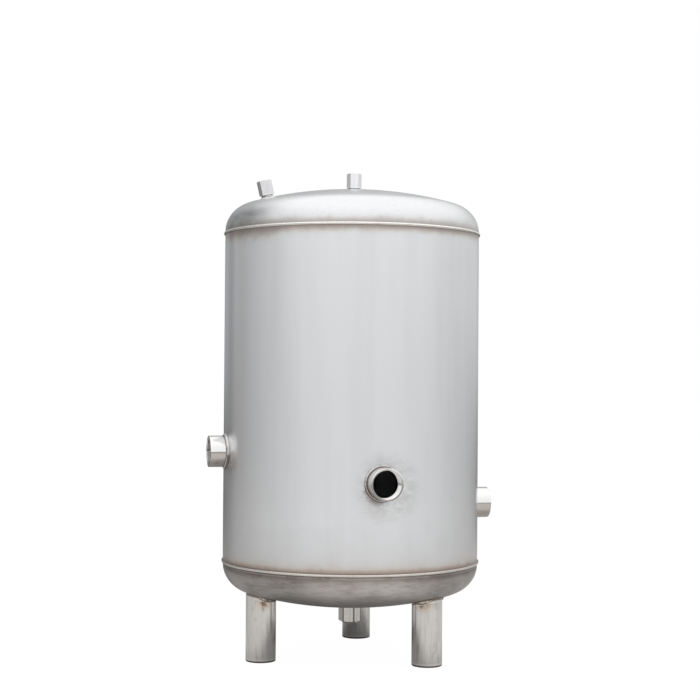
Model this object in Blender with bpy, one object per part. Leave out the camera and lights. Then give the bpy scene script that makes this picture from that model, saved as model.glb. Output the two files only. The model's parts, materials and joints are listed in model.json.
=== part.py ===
"""Water pressure tank: an upright stainless vessel on three tubular legs.

Metres, +Z up, standing on z = 0. The origin is on the floor at the middle of the
tank's outline. The front is -Y and the right-hand side is +X. Azimuths are in
degrees about the tank's axis, 0 at the front and 90 on the right.
"""
import math

import bmesh
import bpy
from mathutils import Matrix, Vector

# Vessel
SHELL_RADIUS = 0.275
SHELL_WALL = 0.002
LOWER_SEAM_Z = 0.202
SHELL_HEIGHT = 0.704
UPPER_SEAM_Z = LOWER_SEAM_Z + SHELL_HEIGHT

# Dished heads: a shallow crown, a tight knuckle and a short straight flange
HEAD_WALL = 0.0025
CROWN_RADIUS = 0.840
KNUCKLE_RADIUS = 0.061
HEAD_FLANGE = 0.004
CROWN_STEPS = 4
KNUCKLE_STEPS = 5

# Weld beads
GIRTH_BEAD_WIDTH = 0.0065
GIRTH_BEAD_HEIGHT = 0.0026
GIRTH_BEAD_STEPS = 5
SEAM_AZIMUTH = 140.0
SEAM_BEAD_WIDTH = 0.006
SEAM_BEAD_HEIGHT = 0.0009
SEAM_CREST_SHARE = 0.5
SEAM_END_CLEARANCE = 0.006

# Where the rounded face of a fillet weld bulges: shares of its width and its height
FILLET_CREST_WIDTH = 0.62
FILLET_CREST_HEIGHT = 0.55

# Two inch pipe sockets, through the shell
SOCKET_RADIUS = 0.03335
SOCKET_BORE = 0.0283
SOCKET_REACH = 0.0355
SOCKET_INSIDE = 0.007
SOCKET_CHAMFER = 0.0010
SOCKETS = {
    "left": (-90.0, 0.438),
    "front": (0.0, 0.386),
    "right": (90.0, 0.323),
}
SOCKET_WELD_WIDTH = 0.0045
SOCKET_WELD_HEIGHT = 0.0050

# Hexagon couplings on the heads: width across flats, radii of bore and spigot, two lengths
SMALL_COUPLING = {"flats": 0.028, "bore": 0.0093, "spigot": 0.0125, "neck": 0.0073, "hexagon": 0.0315}
DRAIN_COUPLING = {"flats": 0.0415, "bore": 0.0152, "spigot": 0.0190, "neck": 0.0060, "hexagon": 0.0305}
COUPLING_INSIDE = 0.004
COUPLING_CHAMFER = 0.0008
COUPLING_FACING_SHARE = 0.99
HEXAGON_BEVEL_ANGLE = 30.0
COUPLING_WELD_WIDTH = 0.0042
COUPLING_WELD_HEIGHT = 0.0036
TOP_COUPLING_RADIUS = 0.0038
TOP_COUPLING_AZIMUTH = 90.0
SIDE_COUPLING_RADIUS = 0.187
SIDE_COUPLING_AZIMUTH = -90.0
TOP_HEXAGON_TURN = -12.5
SIDE_HEXAGON_TURN = -14.5
DRAIN_HEXAGON_TURN = 20.0

# Legs: 2.5 inch tube, cut to the lower head, each with a closing disc for a foot
LEG_RADIUS = 0.03175
LEG_WALL = 0.002
LEG_CIRCLE = 0.209
FOOT_THICKNESS = 0.003
FOOT_CHAMFER = 0.0008
LEGS = {
    "left": {"azimuth": -76.7, "stitches": {"front": 10.0, "rear": 192.0}},
    "right": {"azimuth": 36.8, "stitches": {"front": -29.0, "rear": 112.0}},
    "back": {"azimuth": 162.2, "stitches": {"left": 239.0, "right": 87.0}},
}
STITCH_ARC = 62.0
STITCH_STEPS = 6
STITCH_WIDTH = 0.0060
STITCH_HEIGHT = 0.0075
STITCH_END_SHARE = 0.45

# Neighbouring solids stay this far apart
GAP = 0.0003
SEAT_GAP = 0.0004

# A hole's cutter runs this far past both faces of the wall
HOLE_MARGIN = 0.025

# The front socket alone reaches out along Y, so the tank's axis stands back
AXIS_Y = (SOCKET_REACH - GIRTH_BEAD_HEIGHT - GAP) / 2

SHELL_SIDES = 64
SOCKET_SIDES = 32
COUPLING_SIDES = 24
LEG_SIDES = 28
SHARP_ANGLE = 35.0

# Colour, roughness and metallic value of each finish
FINISHES = {
    "shell_steel": ((0.66, 0.66, 0.65), 0.32, 1.0),
    "dome_steel": ((0.72, 0.72, 0.71), 0.30, 1.0),
    "base_steel": ((0.47, 0.46, 0.44), 0.42, 1.0),
    "socket_steel": ((0.70, 0.69, 0.68), 0.28, 1.0),
    "hexagon_steel": ((0.74, 0.73, 0.73), 0.34, 1.0),
    "leg_steel": ((0.60, 0.59, 0.57), 0.36, 1.0),
    "weld_metal": ((0.78, 0.77, 0.75), 0.35, 1.0),
    "tinted_weld": ((0.42, 0.34, 0.28), 0.48, 1.0),
}


def clear_scene():
    for item in list(bpy.data.objects):
        bpy.data.objects.remove(item, do_unlink=True)


def outward(azimuth):
    """Unit vector from the tank's axis at an azimuth in degrees."""
    angle = math.radians(azimuth)
    return Vector((math.sin(angle), -math.cos(angle), 0.0))


def finish_material(node, finish):
    colour, roughness, metallic = FINISHES[finish]
    material = bpy.data.materials.new(node + "_finish")
    material.use_nodes = True
    shader = material.node_tree.nodes["Principled BSDF"]
    shader.inputs["Base Color"].default_value = (*colour, 1.0)
    shader.inputs["Roughness"].default_value = roughness
    shader.inputs["Metallic"].default_value = metallic
    material.diffuse_color = (*colour, 1.0)
    return material


def add_object(name, mesh, finish, parent, placement=None):
    body = bpy.data.objects.new(name, mesh)
    bpy.context.scene.collection.objects.link(body)
    body.parent = parent
    if placement is not None:
        body.matrix_local = placement
    if finish:
        mesh.materials.append(finish_material(name, finish))
    else:
        body.hide_render = True
        body.display_type = "WIRE"
    mesh.shade_smooth()
    mesh.set_sharp_from_angle(angle=math.radians(SHARP_ANGLE))
    return body


def turned_body(name, outline, sides, finish, parent, placement=None):
    """Turn (radius, height) points about local Z, closed unless they end on the axis."""
    mesh = bpy.data.meshes.new(name)
    count = len(outline)
    edges = [(i, i + 1) for i in range(count - 1)]
    if outline[0][0] > 0.0:
        edges.append((count - 1, 0))
    mesh.from_pydata([(radius, 0.0, height) for radius, height in outline], edges, [])
    body = add_object(name, mesh, finish, parent, placement)
    screw = body.modifiers.new("Turn", "SCREW")
    screw.axis = "Z"
    screw.angle = math.tau
    screw.steps = sides
    screw.render_steps = sides
    screw.use_merge_vertices = True
    screw.merge_threshold = 0.00001
    screw.use_smooth_shade = True
    return body


def lofted_body(name, sections, closed, finish, parent, placement=None):
    """Join sections of equal length into a ring, or into a bar with capped ends."""
    shape = bmesh.new()
    rings = [[shape.verts.new(point) for point in section] for section in sections]
    count = len(rings[0])
    pairs = list(zip(rings, rings[1:]))
    if closed:
        pairs.append((rings[-1], rings[0]))
    else:
        shape.faces.new(rings[0])
        shape.faces.new(reversed(rings[-1]))
    for near, far in pairs:
        for i in range(count):
            j = (i + 1) % count
            shape.faces.new((near[i], near[j], far[j], far[i]))
    bmesh.ops.recalc_face_normals(shape, faces=shape.faces)
    mesh = bpy.data.meshes.new(name)
    shape.to_mesh(mesh)
    shape.free()
    return add_object(name, mesh, finish, parent, placement)


def cut_hole(body, name, radius, low, high, sides, placement):
    """Cut a round hole along local Z of a placement, between two heights."""
    outline = [(0.0, high), (radius, high), (radius, low), (0.0, low)]
    cutter = turned_body(name, outline, sides, None, body.parent, placement)
    cut = body.modifiers.new(name, "BOOLEAN")
    cut.operation = "DIFFERENCE"
    cut.solver = "EXACT"
    cut.object = cutter


def polar(angle, radius, height):
    return Vector((radius * math.cos(angle), radius * math.sin(angle), height))


def around(sides):
    return [math.tau * i / sides for i in range(sides)]


def crown_depth():
    """Height of the weld plane above the centre of a head's crown."""
    reach = SHELL_RADIUS - KNUCKLE_RADIUS
    return math.sqrt((CROWN_RADIUS - KNUCKLE_RADIUS) ** 2 - reach**2) - HEAD_FLANGE


def knuckle_angle():
    """Slope angle of the head where its crown meets its knuckle."""
    return math.asin((SHELL_RADIUS - KNUCKLE_RADIUS) / (CROWN_RADIUS - KNUCKLE_RADIUS))


def head_curve(depth, hole):
    """Points from the hole in the crown to the rim, at a depth inside the outer face."""
    crown = CROWN_RADIUS - depth
    knuckle = KNUCKLE_RADIUS - depth
    start = math.asin(hole / crown)
    meeting = knuckle_angle()
    points = []
    for i in range(CROWN_STEPS):
        angle = start + (meeting - start) * i / CROWN_STEPS
        points.append((crown * math.sin(angle), crown * math.cos(angle) - crown_depth()))
    for i in range(KNUCKLE_STEPS + 1):
        angle = meeting + (math.pi / 2 - meeting) * i / KNUCKLE_STEPS
        reach = SHELL_RADIUS - KNUCKLE_RADIUS + knuckle * math.sin(angle)
        points.append((reach, HEAD_FLANGE + knuckle * math.cos(angle)))
    points.append((SHELL_RADIUS - depth, GAP / 2))
    return points


def head_rise(radius):
    """Height of the head's outer face above its weld plane, at a radius."""
    if radius <= CROWN_RADIUS * math.sin(knuckle_angle()):
        return math.sqrt(CROWN_RADIUS**2 - radius**2) - crown_depth()
    offset = radius - (SHELL_RADIUS - KNUCKLE_RADIUS)
    return HEAD_FLANGE + math.sqrt(max(KNUCKLE_RADIUS**2 - offset**2, 0.0))


def shell(axis):
    low = LOWER_SEAM_Z + GAP / 2
    high = UPPER_SEAM_Z - GAP / 2
    inner = SHELL_RADIUS - SHELL_WALL
    outline = [(SHELL_RADIUS, high), (SHELL_RADIUS, low), (inner, low), (inner, high)]
    body = turned_body("shell", outline, SHELL_SIDES, "shell_steel", axis)
    for side, (azimuth, height) in SOCKETS.items():
        cut_hole(
            body,
            side + "_socket_hole",
            SOCKET_RADIUS + GAP,
            SHELL_RADIUS - HOLE_MARGIN,
            SHELL_RADIUS + HOLE_MARGIN,
            SOCKET_SIDES,
            socket_placement(azimuth, height),
        )


def head(name, seam_z, flip, finish, axis, hole, closed):
    """A dished head, either with a hole on its axis or closed over that place."""
    outer, inner = head_curve(0.0, hole), head_curve(HEAD_WALL, hole)
    if closed:
        outer.insert(0, (0.0, head_rise(0.0)))
        inner.insert(0, (0.0, head_rise(0.0) - HEAD_WALL))
    outline = outer + inner[::-1]
    placement = Matrix.Translation((0.0, 0.0, seam_z)) @ Matrix.Rotation(flip, 4, "X")
    return turned_body(name, outline, SHELL_SIDES, finish, axis, placement)


def girth_weld(name, seam_z, axis):
    """A proud bead round the joint between the shell and a head."""
    seat = SHELL_RADIUS + GAP
    outline = []
    for i in range(GIRTH_BEAD_STEPS + 1):
        angle = math.pi * i / GIRTH_BEAD_STEPS
        height = GIRTH_BEAD_WIDTH / 2 * math.cos(angle)
        outline.append((seat + GIRTH_BEAD_HEIGHT * math.sin(angle), height))
    placement = Matrix.Translation((0.0, 0.0, seam_z))
    turned_body(name, outline, SHELL_SIDES, "weld_metal", axis, placement)


def shell_seam_weld(axis):
    """The flattened bead where the rolled sheet closes, down the back of the shell."""
    out = outward(SEAM_AZIMUTH)
    along = Vector((-out.y, out.x, 0.0))
    seat = SHELL_RADIUS + GAP
    half = SEAM_BEAD_WIDTH / 2
    crest = half * SEAM_CREST_SHARE
    corners = [(-half, 0.0), (half, 0.0), (crest, SEAM_BEAD_HEIGHT), (-crest, SEAM_BEAD_HEIGHT)]
    margin = GIRTH_BEAD_WIDTH / 2 + SEAM_END_CLEARANCE
    sections = []
    for height in (LOWER_SEAM_Z + margin, UPPER_SEAM_Z - margin):
        up = Vector((0.0, 0.0, height))
        sections.append([out * (seat + lift) + along * shift + up for shift, lift in corners])
    lofted_body("shell_seam_weld", sections, False, "weld_metal", axis)


def socket_placement(azimuth, height):
    """Local Z along the socket, local Y up, origin on the tank's axis."""
    out = outward(azimuth)
    up = Vector((0.0, 0.0, 1.0))
    side = up.cross(out)
    turn = Matrix((side, up, out)).transposed().to_4x4()
    return Matrix.Translation((0.0, 0.0, height)) @ turn


def socket(side, azimuth, height, axis):
    inner = SHELL_RADIUS - SOCKET_INSIDE
    mouth = SHELL_RADIUS + SOCKET_REACH
    outline = [
        (SOCKET_RADIUS - SOCKET_CHAMFER, mouth),
        (SOCKET_RADIUS, mouth - SOCKET_CHAMFER),
        (SOCKET_RADIUS, inner + SOCKET_CHAMFER),
        (SOCKET_RADIUS - SOCKET_CHAMFER, inner),
        (SOCKET_BORE, inner),
        (SOCKET_BORE, mouth - SOCKET_CHAMFER),
        (SOCKET_BORE + SOCKET_CHAMFER, mouth),
    ]
    placement = socket_placement(azimuth, height)
    turned_body(side + "_socket", outline, SOCKET_SIDES, "socket_steel", axis, placement)


def fillet_section(angle, inner, width, height, surface):
    """Cross-section at one angle of a fillet weld round a pipe, seated on a surface."""
    crest = (inner + width * FILLET_CREST_WIDTH, height * FILLET_CREST_HEIGHT)
    shape = ((inner, 0.0), (inner + width, 0.0), crest, (inner, height))
    points = []
    for radius, lift in shape:
        point = polar(angle, radius, 0.0)
        point.z = surface(point.x, point.y) + SEAT_GAP + lift
        points.append(point)
    return points


def socket_weld(side, azimuth, height, axis):
    """Fillet round a socket, whose toe follows the curve of the shell."""

    def shell_surface(x, y):
        return math.sqrt(SHELL_RADIUS**2 - x**2)

    sections = [
        fillet_section(angle, SOCKET_RADIUS + GAP, SOCKET_WELD_WIDTH, SOCKET_WELD_HEIGHT, shell_surface)
        for angle in around(SOCKET_SIDES)
    ]
    placement = socket_placement(azimuth, height)
    lofted_body(side + "_socket_weld", sections, True, "weld_metal", axis, placement)


def hexagon_radius(angle, flats):
    """Distance from the axis to a hexagon's edge, with a corner at angle 0."""
    sector = math.pi / 3
    offset = (angle % sector) - sector / 2
    return flats / 2 / math.cos(offset)


def coupling_placement(seam_z, flip, radius, azimuth, turn):
    """Local Z square out of the head at a radius and azimuth, origin at the centre of the crown."""
    centre = Matrix.Translation((0.0, 0.0, -crown_depth()))
    seam = Matrix.Translation((0.0, 0.0, seam_z)) @ Matrix.Rotation(flip, 4, "X")
    hinge = Vector((0.0, 0.0, 1.0)).cross(outward(azimuth))
    tilt = Matrix.Rotation(math.asin(radius / CROWN_RADIUS), 4, hinge)
    return seam @ centre @ tilt @ Matrix.Rotation(math.radians(turn), 4, "Z")


def coupling(name, sizes, placement, axis):
    """A hexagon coupling with a round spigot through the head and a weld at its foot."""
    bore, spigot = sizes["bore"], sizes["spigot"]
    inside = CROWN_RADIUS - HEAD_WALL - COUPLING_INSIDE
    shoulder = CROWN_RADIUS + sizes["neck"]
    end = shoulder + sizes["hexagon"]
    facing = sizes["flats"] / 2 * COUPLING_FACING_SHARE
    bevel = math.tan(math.radians(HEXAGON_BEVEL_ANGLE))
    sections = []
    for angle in around(COUPLING_SIDES):
        edge = hexagon_radius(angle, sizes["flats"])
        drop = (edge - facing) * bevel
        outline = (
            (bore, inside),
            (spigot, inside),
            (spigot, shoulder),
            (facing, shoulder),
            (edge, shoulder + drop),
            (edge, end - drop),
            (facing, end),
            (bore + COUPLING_CHAMFER, end),
            (bore, end - COUPLING_CHAMFER),
        )
        sections.append([polar(angle, radius, height) for radius, height in outline])
    lofted_body(name, sections, True, "hexagon_steel", axis, placement)

    def crown_surface(x, y):
        return math.sqrt(CROWN_RADIUS**2 - x**2 - y**2)

    weld = [
        fillet_section(angle, spigot + GAP, COUPLING_WELD_WIDTH, COUPLING_WELD_HEIGHT, crown_surface)
        for angle in around(COUPLING_SIDES)
    ]
    lofted_body(name + "_weld", weld, True, "weld_metal", axis, placement)


def couplings(axis, top_head):
    """The coupling near the dome's centre, a second one beside it, and the drain."""
    top_place = coupling_placement(
        UPPER_SEAM_Z, 0.0, TOP_COUPLING_RADIUS, TOP_COUPLING_AZIMUTH, TOP_HEXAGON_TURN
    )
    side_place = coupling_placement(
        UPPER_SEAM_Z, 0.0, SIDE_COUPLING_RADIUS, SIDE_COUPLING_AZIMUTH, SIDE_HEXAGON_TURN
    )
    drain_place = coupling_placement(LOWER_SEAM_Z, math.pi, 0.0, 0.0, DRAIN_HEXAGON_TURN)
    coupling("top_coupling", SMALL_COUPLING, top_place, axis)
    coupling("side_coupling", SMALL_COUPLING, side_place, axis)
    coupling("drain_coupling", DRAIN_COUPLING, drain_place, axis)
    hole_radius = SMALL_COUPLING["spigot"] + GAP
    low, high = CROWN_RADIUS - HOLE_MARGIN, CROWN_RADIUS + HOLE_MARGIN
    for side, place in (("top", top_place), ("side", side_place)):
        cut_hole(top_head, side + "_coupling_hole", hole_radius, low, high, COUPLING_SIDES, place)


def under_head(foot, angle, radius):
    """Point on a circle round a leg's axis, lifted to the underside of the lower head."""
    point = polar(angle, radius, 0.0)
    reach = math.hypot(foot.x + point.x, foot.y + point.y)
    point.z = LOWER_SEAM_Z - head_rise(reach) - SEAT_GAP
    return point


def leg(name, azimuth, axis):
    """A tube whose top is cut to the lower head, standing on its closing disc."""
    foot = outward(azimuth) * LEG_CIRCLE
    placement = Matrix.Translation(foot)
    inner = LEG_RADIUS - LEG_WALL
    low = FOOT_THICKNESS + GAP
    sections = []
    for angle in around(LEG_SIDES):
        sections.append([
            polar(angle, inner, low),
            polar(angle, LEG_RADIUS, low),
            under_head(foot, angle, LEG_RADIUS),
            under_head(foot, angle, inner),
        ])
    lofted_body(name + "_leg", sections, True, "leg_steel", axis, placement)
    outline = [
        (0.0, FOOT_THICKNESS),
        (LEG_RADIUS, FOOT_THICKNESS),
        (LEG_RADIUS, FOOT_CHAMFER),
        (LEG_RADIUS - FOOT_CHAMFER, 0.0),
        (0.0, 0.0),
    ]
    turned_body(name + "_foot", outline, LEG_SIDES, "leg_steel", axis, placement)


def leg_stitch(name, azimuth, middle, axis):
    """A short fillet between one side of a leg and the lower head."""
    foot = outward(azimuth) * LEG_CIRCLE
    inner = LEG_RADIUS + GAP
    sections = []
    for i in range(STITCH_STEPS + 1):
        share = i / STITCH_STEPS
        angle = math.radians(middle - 90.0 + STITCH_ARC * (share - 0.5))
        swell = STITCH_END_SHARE + (1.0 - STITCH_END_SHARE) * math.sin(math.pi * share)
        width = STITCH_WIDTH * swell
        height = STITCH_HEIGHT * swell
        root = under_head(foot, angle, inner)
        toe = under_head(foot, angle, inner + width)
        crest = under_head(foot, angle, inner + width * FILLET_CREST_WIDTH)
        crest.z -= height * FILLET_CREST_HEIGHT
        tail = root - Vector((0.0, 0.0, height))
        sections.append([root, toe, crest, tail])
    lofted_body(name, sections, False, "tinted_weld", axis, Matrix.Translation(foot))


def build():
    clear_scene()
    axis = bpy.data.objects.new("tank_axis", None)
    bpy.context.scene.collection.objects.link(axis)
    axis.location = (0.0, AXIS_Y, 0.0)

    shell(axis)
    weld_reach = TOP_COUPLING_RADIUS + SMALL_COUPLING["spigot"] + COUPLING_WELD_WIDTH
    top_head = head("top_head", UPPER_SEAM_Z, 0.0, "dome_steel", axis, weld_reach, True)
    drain_hole = DRAIN_COUPLING["spigot"] + GAP
    head("bottom_head", LOWER_SEAM_Z, math.pi, "base_steel", axis, drain_hole, False)
    girth_weld("top_girth_weld", UPPER_SEAM_Z, axis)
    girth_weld("bottom_girth_weld", LOWER_SEAM_Z, axis)
    shell_seam_weld(axis)
    for side, (azimuth, height) in SOCKETS.items():
        socket(side, azimuth, height, axis)
        socket_weld(side, azimuth, height, axis)
    couplings(axis, top_head)
    for side, facts in LEGS.items():
        leg(side, facts["azimuth"], axis)
        for end, middle in facts["stitches"].items():
            leg_stitch(f"{side}_leg_{end}_weld", facts["azimuth"], middle, axis)


build()
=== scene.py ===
"""Looks of a stainless steel water pressure tank, built round its CAD model.

Metres, +Z up. The CAD model stands on z = 0 with the tank's own axis a little behind the
origin. Azimuths are degrees about that axis, 0 at the front (-Y) and 90 on the right (+X).
"""
import json
import math

import bmesh
import bpy
from bpy.props import FloatProperty, FloatVectorProperty, IntProperty, PointerProperty
from mathutils import Matrix, Vector

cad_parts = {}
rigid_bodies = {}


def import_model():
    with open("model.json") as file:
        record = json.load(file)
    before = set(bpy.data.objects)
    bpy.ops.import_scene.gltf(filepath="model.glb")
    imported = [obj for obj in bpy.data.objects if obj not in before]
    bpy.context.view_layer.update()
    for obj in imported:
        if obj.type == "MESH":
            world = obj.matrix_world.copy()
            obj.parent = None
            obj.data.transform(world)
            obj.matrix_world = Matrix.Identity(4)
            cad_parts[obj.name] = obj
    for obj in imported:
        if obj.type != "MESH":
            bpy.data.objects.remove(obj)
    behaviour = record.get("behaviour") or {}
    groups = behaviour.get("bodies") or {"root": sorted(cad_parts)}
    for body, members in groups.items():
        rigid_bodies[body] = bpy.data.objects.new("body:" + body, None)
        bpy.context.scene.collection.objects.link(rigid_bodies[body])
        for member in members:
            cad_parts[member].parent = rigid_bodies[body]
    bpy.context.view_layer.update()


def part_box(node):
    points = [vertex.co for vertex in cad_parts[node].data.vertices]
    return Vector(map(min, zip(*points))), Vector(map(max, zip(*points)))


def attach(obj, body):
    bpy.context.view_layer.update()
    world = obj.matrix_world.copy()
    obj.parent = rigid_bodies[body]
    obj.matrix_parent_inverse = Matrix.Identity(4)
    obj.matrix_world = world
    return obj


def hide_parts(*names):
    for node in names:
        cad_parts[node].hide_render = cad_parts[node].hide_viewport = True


bl_info = {
    "name": "Water pressure tank",
    "version": (1, 0, 0),
    "blender": (4, 5, 0),
    "location": "3D View > Sidebar > Tank",
    "description": "Dresses the CAD model of a stainless steel water pressure tank",
    "category": "Object",
}

for thing in list(bpy.data.objects):
    bpy.data.objects.remove(thing, do_unlink=True)
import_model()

SHELL_LOW, SHELL_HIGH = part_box("shell")
FOOT_LOW, FOOT_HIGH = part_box("left_foot")
BEAD_LOW, BEAD_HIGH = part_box("top_girth_weld")
SEAM_LOW, SEAM_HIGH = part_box("shell_seam_weld")
AXIS = Vector(((SHELL_LOW.x + SHELL_HIGH.x) / 2, (SHELL_LOW.y + SHELL_HIGH.y) / 2, 0.0))
UP = Vector((0.0, 0.0, 1.0))

# Azimuth of each socket, and which way its stitch welds sit round each leg
SOCKET_AZIMUTHS = {"left": -90.0, "front": 0.0, "right": 90.0}
STITCH_AZIMUTHS = {
    "left": {"front": 10.0, "rear": 192.0},
    "right": {"front": -29.0, "rear": 112.0},
    "back": {"left": 239.0, "right": 87.0},
}

# What the heat of the girth welds leaves of the steel's own colour, by the distance from the seam
HEAT_TINTS = {
    "under the upper weld": (
        (0.0030, (0.40, 0.35, 0.31)), (0.0055, (0.47, 0.40, 0.36)), (0.0085, (0.57, 0.50, 0.46)),
        (0.0125, (0.76, 0.70, 0.64)), (0.0165, (0.90, 0.88, 0.85)), (0.0210, (0.97, 0.97, 0.965)),
        (0.0300, (1.0, 1.0, 1.0)),
    ),
    "over the lower weld": (
        (0.0030, (0.42, 0.34, 0.29)), (0.0055, (0.50, 0.42, 0.365)), (0.0090, (0.65, 0.55, 0.49)),
        (0.0130, (0.79, 0.73, 0.67)), (0.0170, (0.83, 0.80, 0.76)), (0.0220, (0.87, 0.85, 0.83)),
        (0.0340, (0.90, 0.895, 0.89)), (0.0600, (0.94, 0.94, 0.94)), (0.1100, (1.0, 1.0, 1.0)),
    ),
    "over the upper weld": (
        (0.0035, (0.64, 0.60, 0.56)), (0.0060, (0.70, 0.655, 0.62)), (0.0085, (0.76, 0.71, 0.67)),
        (0.0120, (0.86, 0.83, 0.80)), (0.0155, (0.96, 0.95, 0.94)), (0.0210, (1.0, 1.0, 1.0)),
    ),
    "under the lower weld": (
        (0.0035, (0.50, 0.47, 0.45)), (0.0070, (0.60, 0.565, 0.54)), (0.0110, (0.63, 0.595, 0.565)),
        (0.0145, (0.77, 0.74, 0.715)), (0.0190, (0.92, 0.91, 0.90)), (0.0280, (1.0, 1.0, 1.0)),
    ),
}

# Painted shade on the sockets, darker in two steps down their lower half and as a thin dark line along their
# top:
# the depths below the axis between which it comes in, and what it leaves
SOCKET_PAINTED_SHADE = (
    (0.0000, 0.0030, (0.72, 0.685, 0.655)),
    (0.0110, 0.0200, (0.72, 0.70, 0.69)),
    (-0.0312, -0.0322, (0.52, 0.515, 0.51)),
)

# The floor as the steel reflects it, glowing with painted light and shade: the tank's painted shadow under
# and behind it, a lit stretch in front, and a darker far edge. Its tone by the distance from the tank, and
# by the direction, from 0 behind the tank to 1 in front of it
GROUND_SHADE_BY_REACH = (
    (0.20, 0.45), (0.25, 0.72), (0.32, 0.94), (0.50, 0.94),
    (0.80, 0.94), (1.20, 0.93), (2.00, 0.87), (2.80, 0.37),
)
GROUND_SHADE_BY_SIDE = (
    (0.0, 0.43), (0.04, 0.46), (0.12, 0.66), (0.25, 0.78),
    (0.455, 0.85), (0.67, 0.90), (0.85, 0.94), (1.0, 0.99),
)
# The side where its painted light is brightest, in degrees to the right of where the camera stands
GROUND_TURN = 20.0

# The room: its tones by the azimuth from the camera's in degrees, low on the walls and in the cove
# over them. A colour ramp holds tones up to 1, so they are kept smaller and the light is stronger
ROOM_LIGHT = 2.0
WALL_TONES = (
    (-180, 0.40), (-170, 0.38), (-160, 0.41), (-152, 0.46), (-144, 0.40), (-138, 0.375), (-133, 0.46),
    (-128, 0.60), (-122, (0.58, 0.565, 0.54)), (-117, (0.56, 0.545, 0.525)), (-112, 0.545),
    (-103, 0.67), (-97, 0.69), (-87, 0.755), (-80, 0.83), (-73, 0.835), (-65, 0.905), (-55, 1.045),
    (-45, 1.13), (-31, 1.20), (0, 1.20), (35, 1.18), (64, 1.145), (80, 1.075), (94, 0.965),
    (112, 0.93), (122, 0.91), (136, 0.85), (150, 0.76), (162, 0.58), (180, 0.40),
)
COVE_TONES = (
    (-180, 0.86), (-170, 0.72), (-162, 0.55), (-150, 0.50), (-138, 0.48), (-123, 0.42), (-112, 0.45),
    (-105, 0.52), (-97, 0.75), (-86, 0.95), (-65, 1.12), (-40, 1.18), (0, 1.22), (40, 1.22), (72, 1.23),
    (100, 1.25), (126, 1.25), (148, 1.12), (165, 1.00), (180, 0.86),
)
CEILING_TONE = 1.36
ROOM_CAST = (0.985, 0.995, 1.0)
# Elevations in degrees over which the walls pass into the cove, and the cove into the ceiling
COVE_FOOT = (16.0, 32.0)
COVE_HEAD = (32.0, 58.0)

# Clearance round what passes through a hole, and over the discs; reach of a cutter on either side
HOLE_CLEARANCE = 0.0003
DISC_CLEARANCE = 0.0002
CUTTER_REACH = 0.025

SOCKET_HOLE_SIDES = 128
SOCKET_SIDES = 160
COUPLING_SIDES = 72
LEG_SIDES = 96
RIPPLE_STEPS = 5


def length(name, description, default):
    """A property in metres."""
    return FloatProperty(
        name=name, description=description, default=default, subtype="DISTANCE", unit="LENGTH"
    )


def turn(name, description, default):
    """A property in degrees, kept in radians."""
    return FloatProperty(name=name, description=description, default=math.radians(default), subtype="ANGLE")


def colour(name, description, default):
    return FloatVectorProperty(
        name=name, description=description, default=default, size=3, subtype="COLOR", min=0.0, max=1.0
    )


def share(name, description, default):
    return FloatProperty(
        name=name, description=description, default=default, subtype="FACTOR", min=0.0, max=1.0
    )


class VesselSizes(bpy.types.PropertyGroup):
    radius: length("Radius", "Outside radius of the shell", (SHELL_HIGH.x - SHELL_LOW.x) / 2)
    shell_wall: length("Shell wall", "Thickness of the rolled sheet", 0.002)
    head_wall: length("Head wall", "Thickness of the dished heads", 0.0025)
    lower_seam: length("Lower seam", "Height of the lower girth weld", SHELL_LOW.z)
    upper_seam: length("Upper seam", "Height of the upper girth weld", SHELL_HIGH.z)
    crown: length("Crown radius", "Radius of the heads' shallow crown", 0.840)
    knuckle: length("Knuckle radius", "Radius of the heads' tight edge", 0.061)
    flange: length("Flange", "Straight edge of the heads beside the weld", 0.004)
    shrink: length("Weld shrinkage", "How far a girth weld pulls the sheet inwards", 0.0005)
    shrink_reach: length("Shrinkage reach", "How far from the weld the sheet is pulled in", 0.010)
    sides: IntProperty(name="Sides", description="Faces round the vessel", default=288)


class WeldSizes(bpy.types.PropertyGroup):
    girth_width: length("Girth width", "Width of the girth beads", BEAD_HIGH.z - BEAD_LOW.z)
    girth_height: length("Girth height", "How far the girth beads stand proud", 0.0026)
    seam_width: length("Seam width", "Width of the shell's long seam", 0.006)
    seam_height: length("Seam height", "How far the long seam stands proud", 0.0009)
    socket_width: length("Socket fillet width", "Reach of the socket fillets over the shell", 0.0045)
    socket_height: length("Socket fillet height", "Reach of the socket fillets up the sockets", 0.0050)
    coupling_width: length("Coupling fillet width", "Reach of the coupling fillets over the head", 0.0042)
    coupling_height: length("Coupling fillet height", "Reach of the coupling fillets up the spigots", 0.0036)
    stitch_width: length("Stitch width", "Reach of the leg stitches under the head", 0.0060)
    stitch_height: length("Stitch height", "Reach of the leg stitches down the leg", 0.0075)
    stitch_arc: turn("Stitch arc", "How far a stitch runs round a leg", 62.0)
    ripple: length("Ripple pitch", "Distance between two ripples of a bead", 0.0031)


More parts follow.
